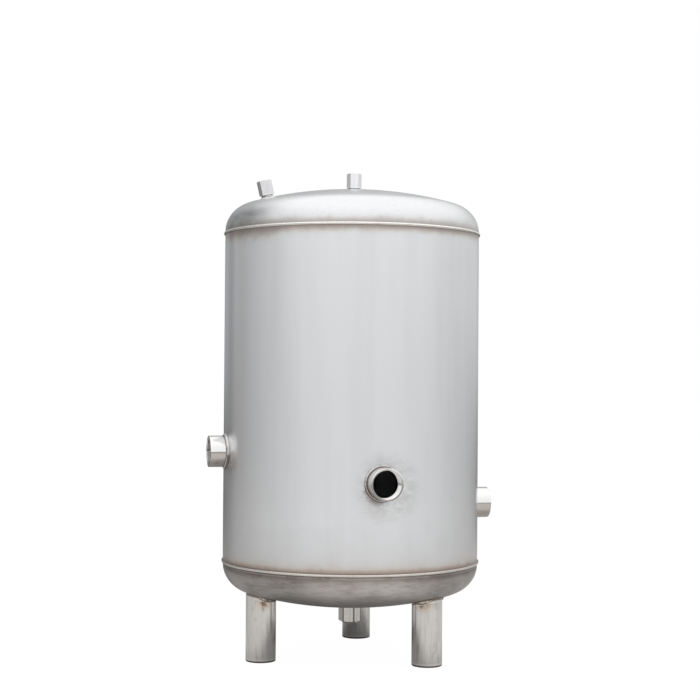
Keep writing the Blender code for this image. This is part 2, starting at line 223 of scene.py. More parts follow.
class FittingSizes(bpy.types.PropertyGroup):
    socket_radius: length("Socket radius", "Outside radius of the pipe sockets", 0.03335)
    socket_bore: length("Socket bore", "Radius of the sockets at the crests of the thread", 0.0283)
    socket_reach: length("Socket reach", "How far the sockets stand out of the shell", 0.0355)
    socket_inside: length("Socket inside", "How far the sockets reach inside the shell", 0.007)
    small_flats: length("Small hexagon", "Width across flats of the two couplings on the dome", 0.028)
    small_bore: length("Small bore", "Bore radius of the couplings on the dome", 0.0093)
    small_spigot: length("Small spigot", "Spigot radius of the couplings on the dome", 0.0125)
    small_neck: length("Small neck", "Length of spigot showing under the hexagon", 0.0073)
    small_length: length("Small length", "Length of the hexagons on the dome", 0.0315)
    small_pitch: length("Small pitch", "Pitch of the 1/2 inch pipe thread", 0.001814)
    top_radius: length(
        "Top coupling place", "Distance of the first coupling from the axis, to the right", 0.0038
    )
    side_radius: length(
        "Side coupling place", "Distance of the second coupling from the axis, to the left", 0.187
    )
    drain_flats: length("Drain hexagon", "Width across flats of the drain coupling", 0.0415)
    drain_bore: length("Drain bore", "Bore radius of the drain coupling", 0.0152)
    drain_spigot: length("Drain spigot", "Spigot radius of the drain coupling", 0.0190)
    drain_neck: length("Drain neck", "Length of spigot showing over the drain's hexagon", 0.0060)
    drain_length: length("Drain length", "Length of the drain's hexagon", 0.0305)
    pipe_pitch: length("Pipe pitch", "Pitch of the 1 inch and 2 inch pipe threads", 0.002309)
    top_turn: turn("Top hexagon turn", "Turn of the hexagon on the dome's centre", -12.5)
    side_turn: turn("Side hexagon turn", "Turn of the second hexagon on the dome", -14.5)
    drain_turn: turn("Drain hexagon turn", "Turn of the drain's hexagon", 20.0)


class LegSizes(bpy.types.PropertyGroup):
    radius: length("Leg radius", "Outside radius of the leg tube", 0.03175)
    wall: length("Leg wall", "Thickness of the leg tube", 0.002)
    foot: length("Foot thickness", "Thickness of the closing disc", FOOT_HIGH.z - FOOT_LOW.z)
    seat: length("Seat gap", "Clearance between a leg and the head", 0.0004)


class SteelColours(bpy.types.PropertyGroup):
    sheet: colour("Sheet", "Rolled shell sheet", (0.769, 0.774, 0.790))
    dome: colour("Dome", "Upper dished head", (0.717, 0.717, 0.720))
    # Darker than the dome, partly duller steel and partly painted shade; the front keeps this tone while the
    # rest of the head is darkened from it as painted shade
    base: colour("Base", "Lower dished head where it is rubbed bright", (0.515, 0.488, 0.473))
    bar: colour("Turned bar", "Pipe sockets", (0.76, 0.75, 0.74))
    hexagon: colour("Drawn bar", "Couplings on the dome", (0.79, 0.785, 0.80))
    # The drawn bar, warmer and dimmed to about four fifths; the dimming is painted shade, as the drain sits
    # under the tank
    drain: colour("Drain bar", "Drain coupling", (0.61, 0.592, 0.572))
    tube: colour("Tube", "Legs and feet", (0.665, 0.652, 0.638))
    top_bead: colour("Upper bead", "Bright crest of the upper girth weld", (0.88, 0.85, 0.81))
    # Darker than the upper bead: partly duller weld metal, partly painted shade low on the tank
    bottom_bead: colour("Lower bead", "Duller crest of the lower girth weld", (0.64, 0.60, 0.57))
    fillet: colour("Fillets", "Weld metal round the sockets", (0.62, 0.605, 0.59))
    straw: colour("Straw tint", "Faint heat tint on the legs", (0.94, 0.88, 0.82))


class StudioSettings(bpy.types.PropertyGroup):
    azimuth: turn("Camera azimuth", "Where the camera stands round the tank", -13.6)
    distance: length("Camera distance", "From the camera to the tank's axis", 3.3)
    height: length("Camera height", "Height of the camera over the floor", 0.5995)
    pitch: turn("Camera pitch", "How far the camera looks up", 0.99)
    yaw: turn("Camera yaw", "How far the camera looks to the left of the axis", 0.05)
    roll: turn("Camera roll", "How far the picture leans to the right", 0.40)
    lens: FloatProperty(name="Lens", description="Focal length in millimetres", default=78.1, unit="CAMERA")
    floor: length("Floor size", "Side of the square floor", 60.0)
    floor_glow: share("Floor light", "Even light of the white floor", 0.985)
    floor_paint: share("Floor paint", "Share of the light that the white floor scatters", 0.025)
    ground: colour("Ground", "Bright part of the floor that the steel reflects", (0.935, 0.915, 0.89))
    ground_glow: share("Ground light", "Even light of the floor that the steel reflects", 0.55)


def outward(azimuth):
    """Unit vector from the tank's axis at an azimuth in radians."""
    return Vector((math.sin(azimuth), -math.cos(azimuth), 0.0))


def middle(node):
    """Centre of a CAD node's box."""
    low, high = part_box(node)
    return (low + high) / 2


def select_only(*bodies):
    bpy.ops.object.select_all(action="DESELECT")
    for body in bodies:
        body.select_set(True)
    bpy.context.view_layer.objects.active = bodies[0]


def apply_all(body):
    """Apply a body's modifiers in their order."""
    select_only(body)
    for modifier in list(body.modifiers):
        bpy.ops.object.modifier_apply(modifier=modifier.name)


def settle(body, placement):
    """Move a body to its place and leave that place in its mesh."""
    body.matrix_world = placement
    select_only(body)
    bpy.ops.object.transform_apply(location=True, rotation=True, scale=True)


def copy_of(body, name):
    select_only(body)
    bpy.ops.object.duplicate(linked=False)
    twin = bpy.context.object
    twin.name = name
    return twin


def finish_piece(body, material, slot, *nodes, sharp=30.0):
    """Shade a piece, give it its material and let it stand for its CAD nodes."""
    select_only(body)
    bpy.ops.object.shade_smooth_by_angle(angle=math.radians(sharp))
    body.data.materials.clear()
    body.data.materials.append(material)
    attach(body, "root")
    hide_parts(*nodes)


def finish_bead(body, material, node, slot="weld_metal"):
    """Finish a weld bead, whose ripples stay smooth up to a wider angle."""
    finish_piece(body, material, slot, node, sharp=60.0)


def edit_all():
    """Enter edit mode with everything selected."""
    bpy.ops.object.mode_set(mode="EDIT")
    bpy.ops.mesh.select_all(action="SELECT")


def draw_chain(name, points):
    """A chain of edges in edit mode, drawn out from one vertex, all selected at the end."""
    bpy.ops.object.select_all(action="DESELECT")
    bpy.ops.mesh.primitive_plane_add(size=0.01, location=(0.0, 0.0, 0.0))
    body = bpy.context.object
    body.name = name
    edit_all()
    bpy.ops.mesh.merge(type="CENTER")
    bpy.ops.transform.translate(value=points[0])
    for near, far in zip(points, points[1:]):
        bpy.ops.mesh.extrude_region_move(TRANSFORM_OT_translate={"value": far - near})
    bpy.ops.mesh.select_all(action="SELECT")
    bpy.ops.mesh.remove_doubles(threshold=0.000001)
    return body


def close_up():
    """Merge what meets, point the faces outwards and leave edit mode."""
    bpy.ops.mesh.select_all(action="SELECT")
    bpy.ops.mesh.remove_doubles(threshold=0.000002)
    bpy.ops.mesh.normals_make_consistent(inside=False)
    bpy.ops.object.mode_set(mode="OBJECT")


def spin_round(steps, angle, copies=False):
    """Carry what is selected round Z, clockwise from above where the angle is positive."""
    bpy.ops.mesh.spin(steps=steps, angle=angle, dupli=copies, center=(0.0, 0.0, 0.0), axis=UP)


def turned(name, outline, sides):
    """Turn an outline of (radius, height) points about Z. It is closed unless it ends on the axis."""
    points = [Vector((radius, 0.0, height)) for radius, height in outline]
    if outline[0][0] > 0.0:
        points.append(points[0].copy())
    body = draw_chain(name, points)
    spin_round(sides, math.tau)
    close_up()
    return body


def plug(name, radius, low, high, sides):
    """A solid round bar along Z."""
    return turned(name, [(0.0, high), (radius, high), (radius, low), (0.0, low)], sides)


def combine(body, other, operation):
    """A Boolean of two bodies, which uses the second one up."""
    step = body.modifiers.new("Combine", "BOOLEAN")
    step.operation = operation
    step.solver = "EXACT"
    step.object = other
    apply_all(body)
    bpy.data.objects.remove(other, do_unlink=True)


def cut_hole(body, radius, surface, placement, sides):
    """Cut a round hole along a placement's Z, through the wall that lies at a surface's height."""
    low, high = surface - CUTTER_REACH, surface + CUTTER_REACH
    cutter = plug("hole_cutter", radius + HOLE_CLEARANCE, low, high, sides)
    settle(cutter, placement)
    combine(body, cutter, "DIFFERENCE")


def roughen(body, strength, size, direction="NORMAL"):
    """Push the surface about with cloud noise, as the unevenness of hand work."""
    clouds = bpy.data.textures.new(body.name + "_unevenness", "CLOUDS")
    clouds.noise_scale = size
    clouds.noise_depth = 2
    step = body.modifiers.new("Unevenness", "DISPLACE")
    step.texture = clouds
    step.texture_coords = "LOCAL"
    step.direction = direction
    step.strength = strength
    step.mid_level = 0.5
    apply_all(body)
    bpy.data.textures.remove(clouds)


def arc(centre, radius, start, end, steps):
    """Points of an arc in an outline's (radius, height) plane, angles in degrees."""
    points = []
    for i in range(steps + 1):
        angle = math.radians(start + (end - start) * i / steps)
        points.append((centre[0] + radius * math.cos(angle), centre[1] + radius * math.sin(angle)))
    return points


# The dished heads

def meeting_place(vessel):
    """Radius of the knuckle's centre, and the angle at which the crown meets the knuckle."""
    reach = vessel.radius - vessel.knuckle
    return reach, math.asin(reach / (vessel.crown - vessel.knuckle))


def crown_depth(vessel):
    """Height of the weld plane above the centre of a head's crown."""
    reach, _ = meeting_place(vessel)
    return math.sqrt((vessel.crown - vessel.knuckle) ** 2 - reach**2) - vessel.flange


def dish_outline(vessel, depth, hole, crown_steps, knuckle_steps):
    """From the hole in the crown out to the rim, at a depth inside the outer face."""
    crown = vessel.crown - depth
    knuckle = vessel.knuckle - depth
    reach, meeting = meeting_place(vessel)
    start = math.asin(hole / crown)
    points = []
    for i in range(crown_steps):
        angle = start + (meeting - start) * i / crown_steps
        points.append((crown * math.sin(angle), crown * math.cos(angle) - crown_depth(vessel)))
    for i in range(knuckle_steps + 1):
        angle = meeting + (math.pi / 2 - meeting) * i / knuckle_steps
        points.append((reach + knuckle * math.sin(angle), vessel.flange + knuckle * math.cos(angle)))
    points.append((vessel.radius - depth, 0.0))
    return points


def pulled_in(vessel, away):
    """How far the sheet is pulled in at a distance from a girth weld."""
    return vessel.shrink * math.exp(-((away / vessel.shrink_reach) ** 2))


def dish_height(vessel, radius):
    """Height of a head's outer face above its weld plane."""
    reach, meeting = meeting_place(vessel)
    if radius <= vessel.crown * math.sin(meeting):
        return math.sqrt(vessel.crown**2 - radius**2) - crown_depth(vessel)
    return vessel.flange + math.sqrt(max(vessel.knuckle**2 - (radius - reach) ** 2, 0.0))


def head_placement(seam_height, upside_down):
    flip = Matrix.Rotation(math.pi, 4, "X") if upside_down else Matrix.Identity(4)
    return Matrix.Translation(AXIS + UP * seam_height) @ flip


def coupling_placement(vessel, seam_height, upside_down, lean, twist):
    """Local Z out through a head, with the origin at the centre of its crown."""
    centre = Matrix.Translation(UP * -crown_depth(vessel))
    hinge = UP.cross(outward(-math.pi / 2))
    tilt = Matrix.Rotation(lean, 4, hinge)
    return head_placement(seam_height, upside_down) @ centre @ tilt @ Matrix.Rotation(twist, 4, "Z")


def crown_lean(vessel, radius):
    """Lean of a coupling that stands square on a head's crown at a radius."""
    return math.asin(radius / vessel.crown)


def socket_placement(side):
    """Local Z out through the shell, local Y up, with the origin on the tank's axis."""
    out = outward(math.radians(SOCKET_AZIMUTHS[side]))
    axes = Matrix((UP.cross(out), UP, out)).transposed().to_4x4()
    return Matrix.Translation(AXIS + UP * middle(side + "_socket").z) @ axes


# Weld beads

def bead_section(width, height, sunk, lead, steps):
    """Section of a proud bead: X is away from the sheet, Z across it, and Y leads at the crest."""
    points = []
    for i in range(steps + 1):
        angle = math.pi * i / steps
        crest = math.sin(angle)
        points.append(Vector((height * crest, lead * crest, width / 2 * math.cos(angle))))
    points.append(Vector((-sunk, 0.0, -width / 2)))
    points.append(Vector((-sunk, 0.0, width / 2)))
    points.append(points[0].copy())
    return points


def fillet_section(width, height, sunk, lead, steps):
    """Section of a fillet: X is away from the pipe, Z up along it, and Y leads at the crest."""
    points = [Vector((-sunk, 0.0, -sunk)), Vector((width, 0.0, -sunk))]
    for i in range(steps + 1):
        angle = math.pi / 2 * i / steps
        crest = math.sin(2 * angle)
        bulge = 1.0 - 0.12 * crest
        x, z = width * math.cos(angle) * bulge, height * math.sin(angle) * bulge
        points.append(Vector((x, lead * crest, z)))
    points.append(Vector((-sunk, 0.0, height)))
    points.append(points[0].copy())
    return points


def ripple_swell(place):
    """Size of a bead along one ripple: it swells quickly and falls away to the next ripple."""
    return 1.0 + 0.06 * math.sin(math.pi * place) ** 0.6


def run_bead(name, section, radius, start, sweep, steps, size):
    """Draw a section at a radius and carry it round Z, resized as size(share) says at each step."""
    place = Vector((radius, 0.0, 0.0))
    body = draw_chain(name, [place + point * size(0.0) for point in section])
    bpy.ops.object.mode_set(mode="OBJECT")
    body.data.transform(Matrix.Rotation(start, 4, "Z"))
    edit_all()
    for i in range(steps):
        spin_round(1, -sweep / steps)
        centre = Matrix.Rotation(start + sweep * (i + 1) / steps, 3, "Z") @ place
        change = size((i + 1) / steps) / size(i / steps)
        bpy.ops.transform.resize(value=(change, change, change), center_override=centre)
    return body


def bead_ring(name, section, radius, pitch):
    """One ripple of a bead, copied round Z until the ring is closed."""
    count = round(math.tau * radius / pitch)
    body = run_bead(name, section, radius, 0.0, math.tau / count, RIPPLE_STEPS, ripple_swell)
    bpy.ops.mesh.select_all(action="SELECT")
    spin_round(count - 1, -math.tau * (count - 1) / count, copies=True)
    close_up()
    return body


def drape(body, surface):
    """Lift every point of a flat-footed bead by the height of the surface under it."""
    for vertex in body.data.vertices:
        vertex.co.z += surface(vertex.co.x, vertex.co.y)
    body.data.update()


# Threads and hexagons

def thread_cutter(bore, pitch, mouth, turns, sides):
    """A helical ridge that cuts an internal pipe thread, running in from above a mouth."""
    half = pitch * 0.46
    depth = pitch * 0.62
    root = bore - 0.0006
    flank = [(root, half), (bore, half), (bore + depth, 0.0), (bore, -half), (root, -half)]
    start = mouth - pitch * (turns - 1)
    points = [Vector((radius, 0.0, start + height)) for radius, height in flank]
    body = draw_chain("thread_cutter", points + [points[0].copy()])
    bpy.ops.object.mode_set(mode="OBJECT")
    step = body.modifiers.new("Helix", "SCREW")
    step.angle = math.tau
    step.screw_offset = pitch
    step.iterations = turns
    step.steps = sides
    step.render_steps = sides
    apply_all(body)
    edit_all()
    bpy.ops.mesh.fill_holes(sides=8)
    close_up()
    return body


def corner_radius(flats):
    """Radius to the corners of a hexagon."""
    return flats / 2 / math.cos(math.pi / 6)


def hexagon_bar(flats, low, high, corner, facing):
    """A hexagon bar with softened edges, its two ends faced off by a 30 degree chamfer."""
    bpy.ops.object.select_all(action="DESELECT")
    bpy.ops.mesh.primitive_cylinder_add(
        vertices=6,
        radius=corner_radius(flats),
        depth=high - low,
        location=(0.0, 0.0, (low + high) / 2),
        rotation=(0.0, 0.0, math.pi / 2),
    )
    bar = bpy.context.object
    bpy.ops.object.transform_apply(location=True, rotation=True, scale=True)
    bpy.ops.object.mode_set(mode="EDIT")
    bpy.ops.mesh.select_all(action="DESELECT")
    shape = bmesh.from_edit_mesh(bar.data)
    for edge in shape.edges:
        run = edge.verts[0].co - edge.verts[1].co
        edge.select = abs(run.z) > (high - low) / 2
    bmesh.update_edit_mesh(bar.data)
    bpy.ops.mesh.bevel(offset=corner, segments=3)
    close_up()
    wide = flats * 0.62
    fall = (wide - facing) * math.tan(math.radians(30.0))
    outline = [(0.0, high), (facing, high), (wide, high - fall)]
    outline += [(wide, low + fall), (facing, low), (0.0, low)]
    combine(bar, turned("facing_cutter", outline, sides=96), "INTERSECT")
    return bar


def coupling(name, vessel, flats, bore, spigot, neck, size, pitch):
    """A hexagon coupling with a spigot and an internal thread, standing on its head's crown."""
    shoulder = vessel.crown + neck
    end = shoulder + size
    stub = 0.004
    inside = vessel.crown - vessel.head_wall - stub
    bar = hexagon_bar(flats, shoulder, end, corner=0.0007, facing=flats / 2 * 1.045)
    bar.name = name
    combine(bar, plug("spigot", spigot, inside, shoulder + size / 2, COUPLING_SIDES), "UNION")
    countersink, past = pitch * 0.75, 0.002
    mouth = bore + countersink
    hole = [(0.0, end + past), (mouth, end + past), (mouth, end), (bore, end - countersink)]
    hole += [(bore, inside - past), (0.0, inside - past)]
    combine(bar, turned("bore_cutter", hole, COUPLING_SIDES), "DIFFERENCE")
    combine(bar, thread_cutter(bore, pitch, end + pitch / 2, turns=9, sides=COUPLING_SIDES), "DIFFERENCE")
    return bar


# Finishes

def paint(value, strength=1.0):
    """An opaque colour from one tone, or from red, green and blue."""
    parts = (value,) * 3 if isinstance(value, float) else value
    return (*(part * strength for part in parts), 1.0)


class Graph:
    """A node tree, and the ways of adding to it."""

    def __init__(self, tree):
        self.nodes = tree.nodes
        self.links = tree.links

    def add(self, kind, inputs=None, **settings):
        node = self.nodes.new(kind)
        for name, value in settings.items():
            setattr(node, name, value)
        for name, value in (inputs or {}).items():
            self.feed(node.inputs[name], value)
        return node

    def feed(self, socket, value):
        if isinstance(value, bpy.types.NodeSocket):
            self.links.new(value, socket)
        else:
            socket.default_value = value

    def math(self, operation, first, second=0.0):
        return self.add("ShaderNodeMath", {0: first, 1: second}, operation=operation).outputs[0]

    def both(self, first, second):
        """The product of two factors."""
        return self.math("MULTIPLY", first, second)

    def vector(self, operation, first, second=(0.0, 0.0, 0.0), output="Vector"):
        return self.add("ShaderNodeVectorMath", {0: first, 1: second}, operation=operation).outputs[output]

    def rise(self, value, low, high, curve="SMOOTHSTEP"):
        """0 up to low and 1 from high, on a curve between. It falls where high is the smaller."""
        inputs = {"Value": value, "From Min": low, "From Max": high}
        return self.add("ShaderNodeMapRange", inputs, interpolation_type=curve).outputs[0]

    def scaled(self, value, low, high):
        """Spread 0 to 1 over low to high."""
        return self.add("ShaderNodeMapRange", {"Value": value, "To Min": low, "To Max": high}).outputs[0]

    def apart(self, value, centre):
        """How far a value is from a centre, either way."""
        return self.math("ABSOLUTE", self.math("SUBTRACT", value, centre))

    def band(self, value, centre, reach):
        """1 in a band about a centre, falling to 0 at its reach."""
        return self.rise(self.apart(value, centre), reach, reach * 0.4)

    def ramp(self, value, stops):
        """A colour that runs through stops of (position, colour) as a value rises from 0 to 1."""
        node = self.add("ShaderNodeValToRGB", {0: value})
        elements = node.color_ramp.elements
        for (position, colour), element in zip(stops, elements):
            element.position = position
            element.color = colour
        for position, colour in stops[2:]:
            elements.new(position).color = colour
        return node.outputs[0]

    def tint(self, base, factor, colour, mode="MIX"):
        """Lay a colour over another by a factor."""
        node = self.add("ShaderNodeMix", data_type="RGBA", blend_type=mode)
        self.feed(node.inputs["Factor"], factor)
        self.feed(node.inputs[6], base)
        self.feed(node.inputs[7], colour)
        return node.outputs[2]


class Finish(Graph):
    """Draws the nodes of one material, whose colour is covered and stained step by step."""

    def __init__(self, name, colour):
        self.material = bpy.data.materials.new(name)
        self.material.use_nodes = True
        super().__init__(self.material.node_tree)
        self.shader = self.nodes["Principled BSDF"]
        self.place = self.add("ShaderNodeTexCoord").outputs["Object"]
        self.height = self.add("ShaderNodeSeparateXYZ", {"Vector": self.place}).outputs["Z"]
        self.colour = paint(colour)

    def noise(self, size, detail=3.0, stretch=(1.0, 1.0, 1.0), roughness=0.5):
        """Noise whose grain is about this many metres wide, drawn out where stretch is over 1."""
        scale = tuple(1.0 / (size * factor) for factor in stretch)
        spread = self.add("ShaderNodeMapping", {"Vector": self.place, "Scale": scale}).outputs[0]
        inputs = {"Vector": spread, "Scale": 1.0, "Detail": detail, "Roughness": roughness}
        return self.add("ShaderNodeTexNoise", inputs).outputs[0]

    def away(self, point):
        """Distance from a point in metres."""
        return self.vector("DISTANCE", self.place, point, "Value")

    def level(self, point):
        """Place relative to an upright line through a point."""
        return self.vector("MULTIPLY", self.vector("SUBTRACT", self.place, point), (1.0, 1.0, 0.0))

    def reach(self, point):
        """Distance in metres from an upright line through a point."""
        return self.vector("LENGTH", self.level(point), output="Value")

    def facing(self, azimuth):
        """Cosine of the angle round the tank from an azimuth in degrees."""
        aim = self.vector("NORMALIZE", self.level(AXIS))
        return self.vector("DOT_PRODUCT", aim, outward(math.radians(azimuth)), "Value")

    def off_crown(self, vessel, seam_height, upside_down):
        """Distance in metres outside the crown of a head."""
        depth = crown_depth(vessel)
        centre = AXIS + UP * (seam_height + (depth if upside_down else -depth))
        return self.math("SUBTRACT", self.away(centre), vessel.crown)

    def off_socket(self, side):
        """Distance in metres from a socket's own axis."""
        beside = outward(math.radians(SOCKET_AZIMUTHS[side] + 90.0))
        across = self.vector("SUBTRACT", self.place, middle(side + "_socket"))
        flat = self.vector("MULTIPLY", across, Vector(map(abs, beside)) + UP)
        return self.vector("LENGTH", flat, output="Value")

    def cover(self, factor, colour):
        """Lay another colour over the colour so far."""
        self.colour = self.tint(self.colour, factor, paint(colour))

    def stain(self, factor, left):
        """Darken the colour so far, down to what is left of it."""
        self.colour = self.tint(self.colour, factor, paint(left), "MULTIPLY")

    def stain_along(self, value, stops):
        """Darken the colour so far, by stops of (value, what is left)."""
        end = stops[-1][0]
        left = self.ramp(self.math("DIVIDE", value, end), [(far / end, paint(tone)) for far, tone in stops])
        self.colour = self.tint(self.colour, 1.0, left, "MULTIPLY")

    def bump(self, height, depth, before=None):
        """Relief of a depth in metres, added to what is before it."""
        inputs = {"Height": height, "Strength": 1.0, "Distance": depth}
        if before is not None:
            inputs["Normal"] = before
        return self.add("ShaderNodeBump", inputs).outputs[0]

    def brushed_round(self, strength):
        """Fine grinding lines round the piece, which draw its reflections out upright."""
        tangent = self.add("ShaderNodeTangent", direction_type="RADIAL", axis="Z")
        inputs = {"Tangent": tangent.outputs[0], "Anisotropic": strength, "Anisotropic Rotation": 0.25}
        self.connect(inputs)

    def connect(self, inputs):
        """Feed the shader's inputs, given by name."""
        for name, value in inputs.items():
            self.feed(self.shader.inputs[name], value)
        return self.material

    def steel(self, roughness, relief):
        """Connect the shader, as bare metal."""
        inputs = {"Metallic": 1.0, "Base Color": self.colour, "Roughness": roughness, "Normal": relief}
        return self.connect(inputs)

    def matt(self, scattered, glowing, glow):
        """Connect the shader, as a matt floor with some light of its own."""
        lit = {"Base Color": scattered, "Emission Color": glowing, "Emission Strength": glow}
        return self.connect({"Roughness": 1.0, "Specular IOR Level": 0.0, **lit})


def weld_tint(finish, away, place):
    """The oxide and the heat tint beside a girth weld, with an uneven edge."""
    patches = finish.noise(0.035, 4.0, roughness=0.6)
    finish.stain_along(finish.both(away, finish.scaled(patches, 1.45, 0.55)), HEAT_TINTS[place])


def sheet_finish(vessel, colours):
    """Smooth rolled sheet: faint upright bands, handling marks, tint beside the welds, and heat tint with a
    painted shadow to the lower left of each socket.
    """
    finish = Finish("rolled_sheet", colours.sheet)
    bands = finish.noise(0.030, 3.0, stretch=(1.0, 1.0, 14.0))
    finish.cover(finish.scaled(finish.noise(0.12, 4.0), 0.0, 0.5), (0.794, 0.808, 0.826))
    finish.stain(finish.rise(bands, 0.35, 0.75), 0.965)
    over_lower = finish.math("SUBTRACT", finish.height, vessel.lower_seam)
    weld_tint(finish, over_lower, "over the lower weld")
    under_upper = finish.math("SUBTRACT", vessel.upper_seam, finish.height)
    wider = finish.scaled(finish.rise(finish.facing(-68.0), 0.88, 0.98), 1.0, 0.66)
    weld_tint(finish, finish.both(under_upper, wider), "under the upper weld")
    smears = finish.noise(0.018, 4.0, stretch=(1.6, 1.6, 0.8), roughness=0.65)
    rough = finish.scaled(finish.noise(0.05, 5.0, roughness=0.6), 0.26, 0.31)
    for side, azimuth in SOCKET_AZIMUTHS.items():
        out = outward(math.radians(azimuth))
        right = UP.cross(out)
        foot = AXIS + out * vessel.radius + UP * middle(side + "_socket").z
        near = finish.away(foot + right * 0.012 - UP * 0.010)
        haze = finish.both(finish.rise(near, 0.088, 0.036), finish.rise(smears, 0.26, 0.62))
        finish.stain(haze, (0.79, 0.785, 0.78))
        # Heat tint and a painted shadow, to the lower left of each socket
        close = finish.away(foot - right * 0.010 - UP * 0.012)
        scorch_and_shadow = finish.both(finish.rise(close, 0.036, 0.024), finish.rise(smears, 0.30, 0.60))
        finish.stain(scorch_and_shadow, (0.62, 0.57, 0.54))
        rough = finish.math("ADD", rough, finish.both(haze, 0.08))
    relief = finish.bump(bands, 0.00006)
    relief = finish.bump(finish.noise(0.0011, 2.0, stretch=(1.0, 1.0, 0.25)), 0.0000012, relief)
    finish.brushed_round(0.85)
    return finish.steel(rough, relief)


def dome_finish(vessel, colours):
    """Spun head: bright, lightly clouded and mottled, with pits, painted shade on its left near the rim, and
    tint by the weld.
    """
    finish = Finish("spun_dome", colours.dome)
    clouding = finish.noise(0.07, 4.0, roughness=0.6)
    finish.cover(finish.scaled(clouding, 0.0, 0.6), (0.675, 0.68, 0.685))
    mottle = finish.rise(finish.noise(0.006, 3.0, stretch=(1.6, 1.6, 0.7)), 0.52, 0.72)
    finish.stain(mottle, 0.955)
    finish.cover(finish.rise(finish.noise(0.0034, 1.0), 0.80, 0.84), (0.25, 0.24, 0.23))
    away = finish.math("SUBTRACT", finish.height, vessel.upper_seam)
    edge = finish.both(away, finish.scaled(clouding, 1.4, 0.6))
    # Painted shade on the dome's left side near its rim, broken up by a wiped mottle
    dull = finish.both(finish.rise(finish.facing(-92.0), 0.72, 0.93), finish.rise(edge, 0.046, 0.022))
    wiped = finish.rise(finish.noise(0.010, 3.0, stretch=(3.0, 3.0, 0.7)), 0.36, 0.60)
    finish.stain(finish.both(dull, finish.scaled(wiped, 0.72, 1.0)), (0.58, 0.59, 0.60))
    weld_tint(finish, away, "over the upper weld")
    relief = finish.bump(finish.noise(0.022, 3.0), 0.00005)
    return finish.steel(finish.scaled(clouding, 0.22, 0.29), finish.bump(mottle, 0.000004, relief))


def base_finish(vessel, colours):
    """Lower head: dull and mottled, with grimy streaks round it, and painted shade: darker away from its
    front, towards its bottom and in a lip under the weld.
    """
    finish = Finish("dull_and_shaded_base", colours.base)
    clouding = finish.noise(0.055, 5.0, stretch=(1.5, 1.5, 0.6), roughness=0.65)
    streaks = finish.noise(0.008, 4.0, stretch=(4.0, 4.0, 0.6), roughness=0.6)
    front = finish.math("ADD", finish.facing(-6.0), finish.scaled(clouding, -0.08, 0.08))
    # Painted shade: darker everywhere but the front
    finish.stain(finish.rise(front, 0.97, 0.83), 0.70)
    finish.stain(finish.rise(clouding, 0.42, 0.66), (0.76, 0.755, 0.75))
    finish.stain(finish.rise(streaks, 0.5, 0.70), (0.80, 0.785, 0.77))
    finish.cover(finish.rise(finish.noise(0.0045, 2.0), 0.72, 0.78), (0.56, 0.55, 0.53))
    # Painted shade, darker towards the bottom
    finish.stain(finish.rise(finish.height, 0.148, 0.128), (0.72, 0.71, 0.70))
    away = finish.math("SUBTRACT", vessel.lower_seam, finish.height)
    weld_tint(finish, away, "under the lower weld")
    # Painted shade in a lip under the lower weld, with an uneven edge
    beside = finish.rise(finish.apart(away, 0.0062), 0.0012, 0.0004)
    shaded_lip = finish.both(beside, finish.rise(clouding, 0.62, 0.45))
    finish.cover(finish.both(shaded_lip, 0.45), (0.50, 0.475, 0.45))
    relief = finish.bump(streaks, 0.00002, finish.bump(clouding, 0.00025))
    return finish.steel(finish.scaled(clouding, 0.34, 0.50), relief)


def girth_finish(name, height, crest, toe):
    """A girth bead: bright along its crest, brown at its toes with heat tint and painted shade, with a few
    dark specks.
    """
    finish = Finish(name, crest)
    patches = finish.noise(0.014, 4.0, roughness=0.65)
    finish.cover(finish.rise(patches, 0.50, 0.78), [part * 0.82 for part in crest])
    finish.cover(finish.rise(finish.noise(0.0042, 2.0), 0.72, 0.78), (0.20, 0.17, 0.15))
    # Heat tint and painted shade at both toes of the bead
    finish.cover(finish.rise(finish.apart(finish.height, height), 0.0013, 0.0026), toe)
    relief = finish.bump(finish.noise(0.0014, 3.0), 0.00003)
    return finish.steel(finish.scaled(patches, 0.14, 0.26), relief)


def fillet_finish(name, colours, socket=None, radius=0.0):
    """Weld metal of the small fillets, mottled with oxide, with painted shade in the crease where one meets
    its socket and a painted shadow on its outer toe below the socket.
    """
    finish = Finish(name, colours.fillet)
    patches = finish.noise(0.007, 4.0, roughness=0.65)
    finish.cover(finish.rise(patches, 0.48, 0.70), (0.36, 0.33, 0.305))
    finish.cover(finish.rise(finish.noise(0.0036, 2.0), 0.64, 0.72), (0.15, 0.13, 0.12))
    if socket:
        reach = finish.off_socket(socket)
        # Painted shade in the crease where the fillet meets its socket
        finish.cover(finish.rise(reach, radius + 0.0020, radius + 0.0009), (0.12, 0.10, 0.09))
        below = finish.math("SUBTRACT", middle(socket + "_socket").z, finish.height)
        # Painted shadow on the fillet's outer toe, below the socket's axis
        toe = finish.rise(reach, radius + 0.0022, radius + 0.0034)
        finish.cover(finish.both(toe, finish.rise(below, 0.0, 0.012)), (0.16, 0.135, 0.12))
    return finish.steel(finish.scaled(patches, 0.20, 0.38), finish.bump(finish.noise(0.0014, 3.0), 0.00006))


def coupling_weld_finish(colours):
    """Clean bright weld metal, with a little oxide, at the feet of the couplings."""
    finish = Finish("coupling_weld_metal", colours.top_bead)
    patches = finish.noise(0.007, 4.0, roughness=0.65)
    finish.cover(finish.rise(patches, 0.56, 0.74), (0.55, 0.53, 0.51))
    return finish.steel(finish.scaled(patches, 0.16, 0.30), finish.bump(finish.noise(0.0014, 3.0), 0.00004))


